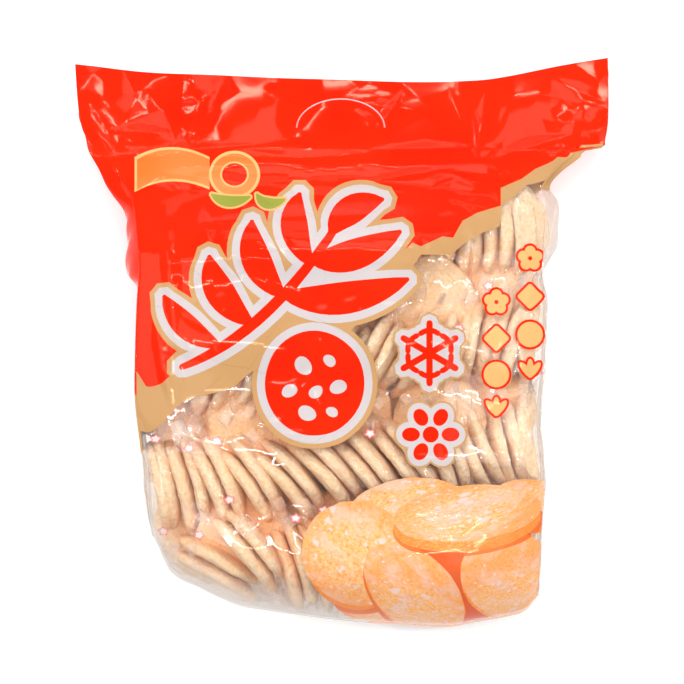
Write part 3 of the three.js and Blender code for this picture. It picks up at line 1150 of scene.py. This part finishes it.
WRAPPER_STEPS = (41, 36)  # along it, and round it
HIDDEN_WRAPPER_STEPS = (21, 20)
PATTERN_APART = 200.0  # keeps the wrappers' crinkles unlike each other


def wrapper_points(rng, bend, steps):
    """One pillow wrapper about its own middle: tight over the crackers, crumpled towards its flat ends."""
    along = np.linspace(-1, 1, steps[0])
    u = (np.sign(along) * np.abs(along) ** 0.8 * PACK_HALF_LENGTH)[:, None]
    around = ring_angles(steps[1])
    shut = blend(CRACKER_RADIUS - 13, CRIMP_FROM, np.abs(u))
    wide = lerp(CRACKER_RADIUS + 1.6, FLAT_HALF, shut)
    thick = lerp(CRACKER_THICKNESS + 0.9, 0.3, shut**0.8)
    power = lerp(0.5, 0.9, shut)
    c, d = np.cos(around)[None, :], np.sin(around)[None, :]
    w = wide * np.sign(c) * np.abs(c) ** power
    n = thick * np.sign(d) * np.abs(d) ** power
    crumple = np.zeros_like(w)
    for _ in range(4):
        pitch = rng.uniform(9, 24)
        crumple += unit_wave(w / pitch * (1 + rng.normal() * 0.25 * u / PACK_HALF_LENGTH) + rng.uniform())
    size = 0.22 + 1.3 * shut * (1 - 0.45 * blend(CRIMP_FROM - 2, CRIMP_FROM + 3, np.abs(u)))
    n = n + crumple * size + bend * ((u / CRACKER_RADIUS) ** 2 - 0.35) * (1 - 0.6 * shut)
    lean = rng.normal(size=2) * 5
    n = n + shut * np.where(u < 0, lean[0], lean[1])
    over = np.maximum(0.0, np.abs(w) - CRACKER_RADIUS - 2.5)
    fold_to = np.where(u < 0, rng.choice((-1, 1)), rng.choice((-1, 1)))
    n = n + fold_to * over * 0.9
    w = w - np.sign(w) * over * 0.75 + rng.normal(size=w.shape) * 0.15
    return np.stack([np.broadcast_to(u, w.shape), w, n], -1).reshape(-1, 3)


def make_wrappers(rng, packs, moved, upright):
    """The wrappers' points, faces, places for their pattern and which faces are pressed ends."""
    vertices, faces, places, pressed = [], [], [], []
    count = 0
    for k, ((middle, axes, bend), shift) in enumerate(zip(packs, moved)):
        steps = WRAPPER_STEPS if k < upright else HIDDEN_WRAPPER_STEPS
        own = wrapper_points(rng, bend, steps)
        band = grid_faces(*steps)
        vertices.append(keep_in_bag(own @ axes + middle + shift, WRAPPER_GAP))
        faces.append(band + count)
        places.append(own + (0, 0, k * PATTERN_APART))
        pressed.append(np.abs(own[band, 0]).mean(1) > CRIMP_FROM)
        count += len(own)
    return tuple(np.concatenate(part) for part in (vertices, faces, places, pressed))


# Small blossoms printed near the wrappers' ends, seen through the film: middle and turn
BLOSSOMS = (
    (-147, -75, 10), (-120, -82, 40), (-98, -76, 66), (-128, -24, 20), (-88, -122, 35), (-14, -130, 80),
    (36, -134, 15), (22, -70, 50), (-141, -148, 25), (-112, -150, 70), (116, 46, 30), (146, 44, 5),
    (92, 12, 60), (-36, -136, 10), (156, -22, 44),
)
BLOSSOM_RADII = (4.0, 2.9, 2.8)  # the ring's outer and inner edge, and the disc's
BLOSSOM_STEPS = 30
BLOSSOM_DEPTH = 1.35  # under the front film


def make_blossoms():
    """Points and faces of the blossoms, each a five-lobed ring and the pale disc in it."""
    vertices, faces, pale = [], [], []
    a = ring_angles(BLOSSOM_STEPS)
    lobes = 1 + 0.22 * np.cos(5 * a)
    for k, (x, y, turn) in enumerate(BLOSSOMS):
        b = a + math.radians(turn)
        for size in BLOSSOM_RADII:
            rx, ry = x + size * lobes * np.cos(b), y + 0.8 * size * lobes * np.sin(b)
            vertices.append(np.stack([rx, ry, front_height(rx, ry) - BLOSSOM_DEPTH], -1))
        start = 3 * BLOSSOM_STEPS * k
        faces += (grid_faces(2, BLOSSOM_STEPS) + start).tolist()
        faces.append(list(range(start + 2 * BLOSSOM_STEPS, start + 3 * BLOSSOM_STEPS)))
        pale += [0] * BLOSSOM_STEPS + [1]
    return np.concatenate(vertices), faces, pale


# ---- materials
BLACK, GREY, WHITE_TONE = ((v, v, v) for v in (0.0, 0.4, 1.0))
INK_ROUGHNESS = 0.06
FLECK_COLOUR = (0.82, 0.58, 0.52)
CREAM_TONES = ((0.38, (0.93, 0.52, 0.24)), (0.5, (0.96, 0.72, 0.46)), (0.62, (0.97, 0.84, 0.67)))
WARM_TONES = ((0.40, (0.95, 0.56, 0.28)), (0.56, (0.96, 0.80, 0.59)))
TOASTED = (0.97, 0.72, 0.40)
# Painted shade: the orange of crackers well inside the bag, for the dim warm light between them
PAINTED_SHADE_ORANGE = (1.0, 0.50, 0.20)


class Nodes:
    """A material's node tree, with short ways to add and join nodes."""

    def __init__(self, name):
        self.material = bpy.data.materials.new(name)
        self.material.use_nodes = True
        self.tree = self.material.node_tree
        self.tree.nodes.clear()
        self.output = self.add("OutputMaterial", {})

    def add(self, kind, inputs, **settings):
        """A node, with the value or the source of each of its inputs that isn't left at its default."""
        node = self.tree.nodes.new("ShaderNode" + kind)
        for key, value in settings.items():
            setattr(node, key, value)
        for socket, value in inputs.items():
            if isinstance(value, bpy.types.NodeSocket):
                self.tree.links.new(value, node.inputs[socket])
            else:
                node.inputs[socket].default_value = value
        return node

    def surface(self, shader):
        self.tree.links.new(shader.outputs[0], self.output.inputs["Surface"])
        return self.material

    def attribute(self, name, output="Vector"):
        return self.add("Attribute", {}, attribute_name=name).outputs[output]

    def stretched(self, place, stretch):
        return self.add("Mapping", {"Vector": place, "Scale": stretch}).outputs["Vector"]

    def noise(self, place, scale, detail=3.0, roughness=0.55):
        inputs = {"Vector": place, "Scale": scale, "Detail": detail, "Roughness": roughness}
        return self.add("TexNoise", inputs).outputs["Fac"]

    def ramp(self, source, *stops):
        node = self.add("ValToRGB", {"Fac": source})
        elements = node.color_ramp.elements
        while len(elements) < len(stops):
            elements.new(0.5)
        for element, (position, colour) in zip(elements, stops):
            element.position = position
            element.color = (*colour, 1.0)
        return node.outputs["Color"]

    def vector(self, operation, *values):
        node = self.add("VectorMath", dict(enumerate(values)), operation=operation)
        return node.outputs["Value" if operation in ("DOT_PRODUCT", "LENGTH") else "Vector"]

    def math(self, operation, *values):
        return self.add("Math", dict(enumerate(values)), operation=operation).outputs[0]

    def scaled(self, value, factor, offset=0.0):
        return self.math("MULTIPLY_ADD", value, factor, offset)

    def facets(self, place, size):
        """The height of flat facets about as wide as the size, each tilted its own way."""
        cells = self.add("TexVoronoi", {"Vector": place, "Scale": 1 / (size * MM)})
        tilt = self.vector("SUBTRACT", cells.outputs["Color"], (0.5, 0.5, 0.5))
        return self.vector("DOT_PRODUCT", tilt, self.vector("SUBTRACT", place, cells.outputs["Position"]))

    def specks(self, place, size):
        """A value under about 0.3 in scattered spots, the largest of them half as wide as the size."""
        ripple = self.add("TexNoise", {"Vector": place, "Scale": 2 / (size * MM)})
        bent = self.vector("MULTIPLY_ADD", ripple.outputs["Color"], (size * MM * 0.5,) * 3, place)
        cells = self.add("TexVoronoi", {"Vector": bent, "Scale": 1 / (size * MM)})
        chance = self.vector("DOT_PRODUCT", cells.outputs["Color"], (0.34, 0.0, 0.0))
        return self.math("ADD", cells.outputs["Distance"], chance)

    def bump(self, height, strength, distance, normal=None):
        inputs = {"Height": height, "Strength": strength, "Distance": distance}
        if normal:
            inputs["Normal"] = normal
        return self.add("Bump", inputs).outputs["Normal"]

    def mix(self, a, b, factor):
        """The colour a, turned to b by a factor. Here b may be a plain colour, and the factor a number."""
        b = (*b, 1.0) if isinstance(b, tuple) else b
        return self.add("Mix", {0: factor, 6: a, 7: b}, data_type="RGBA").outputs[2]

    def mix_shader(self, factor, a, b):
        return self.add("MixShader", {0: factor, 1: a.outputs[0], 2: b.outputs[0]})

    def ink(self, colour, normal):
        """Ink under a glossy film: the film over it is a faint and slightly warm mirror."""
        return self.surface(self.add("BsdfPrincipled", {
            "Base Color": colour, "Roughness": INK_ROUGHNESS, "Normal": normal,
            "Specular IOR Level": 0.17, "Specular Tint": (1.0, 0.76, 0.55, 1.0),
        }))


def film_bump(nodes, place):
    """The unevenness of thin film: soft waves and wide, almost flat facets."""
    normal = nodes.bump(nodes.noise(place, 16.0, 1.0), 0.2, 0.006)
    return nodes.bump(nodes.facets(place, 40.0), 1.0, 0.055, normal)


def wrapper_bump(nodes, place):
    """Sharp crinkles of thin wrapper film: long ones drawn along it, and small ones."""
    normal = nodes.bump(nodes.facets(nodes.stretched(place, (0.3, 1.0, 1.0)), 11.0), 1.0, 0.5)
    pleats = nodes.noise(nodes.stretched(place, (0.12, 1.0, 1.0)), 320.0, 2.0)
    normal = nodes.bump(pleats, 0.5, 0.0016, normal)
    return nodes.bump(nodes.facets(nodes.stretched(place, (0.5, 1.0, 1.0)), 5.0), 1.0, 0.22, normal)


def crimp_bump(nodes, place):
    """Fine ribs pressed across a wrapper's flat ends."""
    ribs = nodes.add("TexWave", {"Vector": place, "Scale": 240.0}, bands_direction="X")
    return nodes.bump(ribs.outputs["Fac"], 0.5, 0.0006, wrapper_bump(nodes, place))


def print_material(name, colour, second):
    """Ink of one colour, with a second tone in places."""
    nodes = Nodes(name)
    place = nodes.attribute("film")
    tone = nodes.ramp(nodes.noise(place, 9.0, 2.0), (0.35, second), (0.65, colour))
    return nodes.ink(tone, film_bump(nodes, place))


def picture_material(name, low, middle, high, flecked):
    """A printed cracker: grainy orange, and pale flecks where it is flecked, fewer of them by its rim."""
    nodes = Nodes(name)
    place = nodes.attribute("picture")
    out = nodes.vector("LENGTH", nodes.vector("MULTIPLY", place, (1.0, 1.0, 0.0)))
    edge = nodes.ramp(nodes.scaled(out, 1 / (CRACKER_RADIUS * MM)), (0.6, BLACK), (1.0, WHITE_TONE))
    body = nodes.ramp(nodes.noise(place, 520.0, 4.0, 0.7), (0.36, low), (0.5, middle), (0.64, high))
    body = nodes.mix(body, low, nodes.scaled(edge, 0.6))
    frosty = nodes.ramp(nodes.noise(place, 60.0, 4.0, 0.7), (0.47, BLACK), (0.64, (0.8, 0.8, 0.8)))
    body = nodes.mix(body, FLECK_COLOUR, nodes.scaled(frosty, 0.6 if flecked else 0.0))
    for size in (9.0, 4.6):
        rarer = nodes.scaled(edge, 0.12, 0.0 if flecked else 0.2)
        fleck = nodes.math("ADD", nodes.specks(place, size), rarer)
        body = nodes.mix(body, FLECK_COLOUR, nodes.ramp(fleck, (0.30, WHITE_TONE), (0.42, BLACK)))
    return nodes.ink(body, film_bump(nodes, nodes.attribute("film")))


def clear_material(name, haze, haze_and_shade_colour, roughness, shine, bump):
    """Thin clear film: mostly see-through, glossier and hazier where it is seen at a slant.
    Haze is given as its least and its most, and shine as a share of a full mirror's and its most."""
    nodes = Nodes(name)
    normal = bump(nodes, nodes.attribute("film"))
    through = nodes.add("BsdfTransparent", {})
    # The haze is partly painted shade: a dark haze colour darkens the film where it is seen at a slant
    shaded_haze = nodes.add("BsdfDiffuse", {"Color": (*haze_and_shade_colour, 1.0)})
    gloss = nodes.add("BsdfGlossy", {"Color": (1.0,) * 4, "Roughness": roughness, "Normal": normal})
    slant = nodes.add("LayerWeight", {"Blend": 0.3}).outputs["Facing"]
    hazy = nodes.mix_shader(nodes.scaled(slant, haze[1] - haze[0], haze[0]), through, shaded_haze)
    mirror = nodes.add("Fresnel", {"IOR": 1.5, "Normal": normal}).outputs[0]
    seen = nodes.mix_shader(nodes.math("MINIMUM", nodes.scaled(mirror, shine[0]), shine[1]), hazy, gloss)
    shadow = nodes.add("LightPath", {}).outputs["Is Shadow Ray"]
    return nodes.surface(nodes.mix_shader(shadow, seen, through))


def cracker_material():
    """Puffed rice: pale cream, browner in its hollows, with a fine crumbly grain.
    Well inside the bag it is painted orange: painted shade, warmed as by light that has gone through other
    crackers."""
    nodes = Nodes("cracker")
    place = nodes.add("TexCoord", {}).outputs["Object"]
    grain = nodes.noise(place, 700.0, 4.0, 0.6)
    puffs = nodes.noise(place, 230.0, 3.0, 0.55)
    cream = nodes.ramp(grain, *CREAM_TONES)
    warm = nodes.ramp(puffs, *WARM_TONES)
    tone = nodes.ramp(nodes.attribute("tone", "Fac"), (0.0, BLACK), (1.0, GREY))
    colour = nodes.mix(nodes.mix(cream, warm, 0.5), TOASTED, tone)
    # Painted shade: the deeper inside the film, the more orange
    colour = nodes.mix(colour, PAINTED_SHADE_ORANGE, nodes.scaled(nodes.attribute("depth", "Fac"), 0.62))
    normal = nodes.bump(grain, 0.9, 0.001, nodes.bump(puffs, 0.9, 0.003))
    return nodes.surface(nodes.add("BsdfPrincipled", {
        "Base Color": colour, "Roughness": 0.75, "Specular IOR Level": 0.25, "Normal": normal}))


def plain_material(name, colour, roughness, more=()):
    """One colour, with more of the shader's inputs by name."""
    nodes = Nodes(name)
    inputs = {"Base Color": (*colour, 1.0), "Roughness": roughness, **dict(more)}
    return nodes.surface(nodes.add("BsdfPrincipled", inputs))


# The inks in the order of the print's colours, each a colour and its second tone.
# A printed cracker has three tones instead, and whether it has flecks.
INKS = (
    ("print_red", (0.88, 0.020, 0.002), (0.84, 0.013, 0.001)),
    ("print_tan", (0.56, 0.315, 0.135), (0.51, 0.28, 0.115)),
    ("print_white", (0.58, 0.52, 0.52), (0.55, 0.495, 0.495)),
    ("print_gold", (0.78, 0.46, 0.17), (0.74, 0.41, 0.14)),
    ("print_orange", (0.84, 0.18, 0.03), (0.82, 0.26, 0.08)),
    ("print_green", (0.36, 0.38, 0.07), (0.26, 0.29, 0.04)),
    ("picture_face", (0.88, 0.31, 0.085), (0.92, 0.45, 0.175), (0.95, 0.57, 0.28), True),
    ("picture_rim", (0.88, 0.22, 0.04), (0.92, 0.32, 0.08), (0.95, 0.44, 0.16), False),
    ("print_shadow", (0.82, 0.20, 0.05), (0.78, 0.15, 0.035)),
    ("print_deep", (0.78, 0.14, 0.04), (0.70, 0.09, 0.025)),
)


def film_materials():
    """The clear film's material and then the inks'."""
    # The clear film's dark brownish grey haze is painted shade of the floor and the films under it
    clear = clear_material("film_clear", (0.02, 0.75), (0.50, 0.41, 0.34), 0.05, (0.95, 0.3), film_bump)
    return [clear] + [picture_material(*ink) if len(ink) > 3 else print_material(*ink) for ink in INKS]


def wrapper_materials():
    """The wrappers' plain film, and that of their pressed ends."""
    shine = (0.75, 0.12)
    # Both hazes' light brown is partly painted warm shade of the gaps between the crackers, over the film's
    # own pale haze
    film = clear_material("wrapper_film", (0.02, 0.14), (0.86, 0.68, 0.54), 0.05, shine, wrapper_bump)
    crimp = clear_material("wrapper_crimp", (0.14, 0.28), (0.84, 0.64, 0.52), 0.08, shine, crimp_bump)
    return [film, crimp]


def blossom_materials():
    tones = (("blossom_pink", (0.84, 0.16, 0.20)), ("blossom_pale", (0.86, 0.72, 0.66)))
    return [plain_material(name, colour, 0.4) for name, colour in tones]


# ---- stage
# Each light's place, size and power: wide ones for an even light, and narrow bright ones that show as
# glints in the film
LIGHTS = {
    "left_box": ((-1500, 300, 1600), (900, 1200), 10),
    "right_box": ((1600, 200, 1400), (800, 1200), 7),
    "top_box": ((0, 1800, 1600), (1200, 600), 9),
    "back_box": ((0, 2000, 900), (1800, 500), 5),
    "left_strip": ((-900, 200, 1900), (30, 1200), 7),
    "right_strip": ((1250, 100, 1750), (30, 1200), 7),
    "top_strip": ((0, 1300, 1800), (1200, 30), 6),
    "overhead": ((0, 0, 2500), (1500, 1500), 15),
}
LIT_POINT = (0, 0, 40)
WORLD_STRENGTH = 0.45
FLOOR_SIZE = 8000.0
FLOOR_GLOW = {"Emission Color": (1.0,) * 4, "Emission Strength": 0.25}


def add_light(name, place, size, power):
    """A flat light that shines at the bag's middle."""
    light = bpy.data.lights.new(name, "AREA")
    light.shape = "RECTANGLE"
    light.size, light.size_y = (v * MM for v in size)
    light.energy = power
    lamp = bpy.data.objects.new(name, light)
    lamp.location = Vector(place) * MM
    lamp.rotation_mode = "QUATERNION"
    lamp.rotation_quaternion = (Vector(LIT_POINT) - Vector(place)).to_track_quat("-Z", "Y")
    # The overhead light reaches the gaps between the crackers, but the flat print doesn't mirror it
    lamp.visible_glossy = name != "overhead"
    bpy.context.scene.collection.objects.link(lamp)


def make_stage():
    """The world, the lights and a plain pale floor."""
    world = bpy.data.worlds.new("studio")
    world.use_nodes = True
    background = world.node_tree.nodes["Background"]
    background.inputs["Color"].default_value = (1.0,) * 4
    background.inputs["Strength"].default_value = WORLD_STRENGTH
    bpy.context.scene.world = world
    bpy.context.scene.view_settings.view_transform = "Standard"
    for name, light in LIGHTS.items():
        add_light(name, *light)
    half = FLOOR_SIZE / 2
    corners = [(-half, -half, 0), (half, -half, 0), (half, half, 0), (-half, half, 0)]
    material = plain_material("floor", (0.92,) * 3, 0.6, FLOOR_GLOW)
    new_object("floor", corners, [(0, 1, 2, 3)], [material], smooth=False)


def make_camera():
    """A camera straight over the bag, which sees just the picture's width of the drawing plane."""
    camera = bpy.data.cameras.new("camera")
    camera.sensor_width = SENSOR
    camera.lens = SENSOR * (CAMERA_HEIGHT - DRAWING_Z) / PICTURE_WIDTH
    camera.clip_end = 20.0
    viewer = bpy.data.objects.new("camera", camera)
    viewer.location = (0, 0, CAMERA_HEIGHT * MM)
    bpy.context.scene.collection.objects.link(viewer)
    bpy.context.scene.camera = viewer


# ---- the pieces
def make_film():
    """The bag's film with its print, as one piece."""
    skin = Skin()
    add_front(skin)
    add_back(skin)
    for side in (-1, 1):
        add_side(skin, side)
        add_crease(skin, side)
    add_seal(skin)
    add_top_edge(skin)
    return skin.build("bag_film", film_materials())


SEED = 44
PAINTED_SHADE_FROM, PAINTED_SHADE_TO = 6, 36  # how far inside the film the crackers' painted orange shade begins and ends


def make_contents():
    """The crackers, their wrappers and the wrappers' blossoms, each as one piece."""
    rng = np.random.default_rng(SEED)
    packs, upright = pack_list(rng)
    points, faces, tones, moved = make_crackers(rng, packs, upright)
    crackers = new_object("crackers", points + SHIFT, faces, [cracker_material()])
    add_attribute(crackers.data, "tone", tones)
    # The depth inside the film drives the crackers' painted orange shade
    add_attribute(crackers.data, "depth", blend(PAINTED_SHADE_FROM, PAINTED_SHADE_TO, room_round(points)))
    points, faces, places, pressed = make_wrappers(rng, packs, moved, upright)
    wrappers = new_object("wrappers", points + SHIFT, faces.tolist(), wrapper_materials(), pressed)
    add_attribute(wrappers.data, "film", places * MM)
    points, faces, pale = make_blossoms()
    blossoms = new_object("blossoms", points + SHIFT, faces, blossom_materials(), pale, smooth=False)
    return crackers, wrappers, blossoms


make_camera()
make_stage()
pieces = (make_film(), *make_contents())
for piece, finish in zip(pieces, ("bag_film", "cracker", "wrapper_film", "bag_print")):
    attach(piece, "root")
    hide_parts("bag")
bpy.context.scene.cycles.transparent_max_bounces = 40
bpy.context.scene.cycles.diffuse_bounces = 6
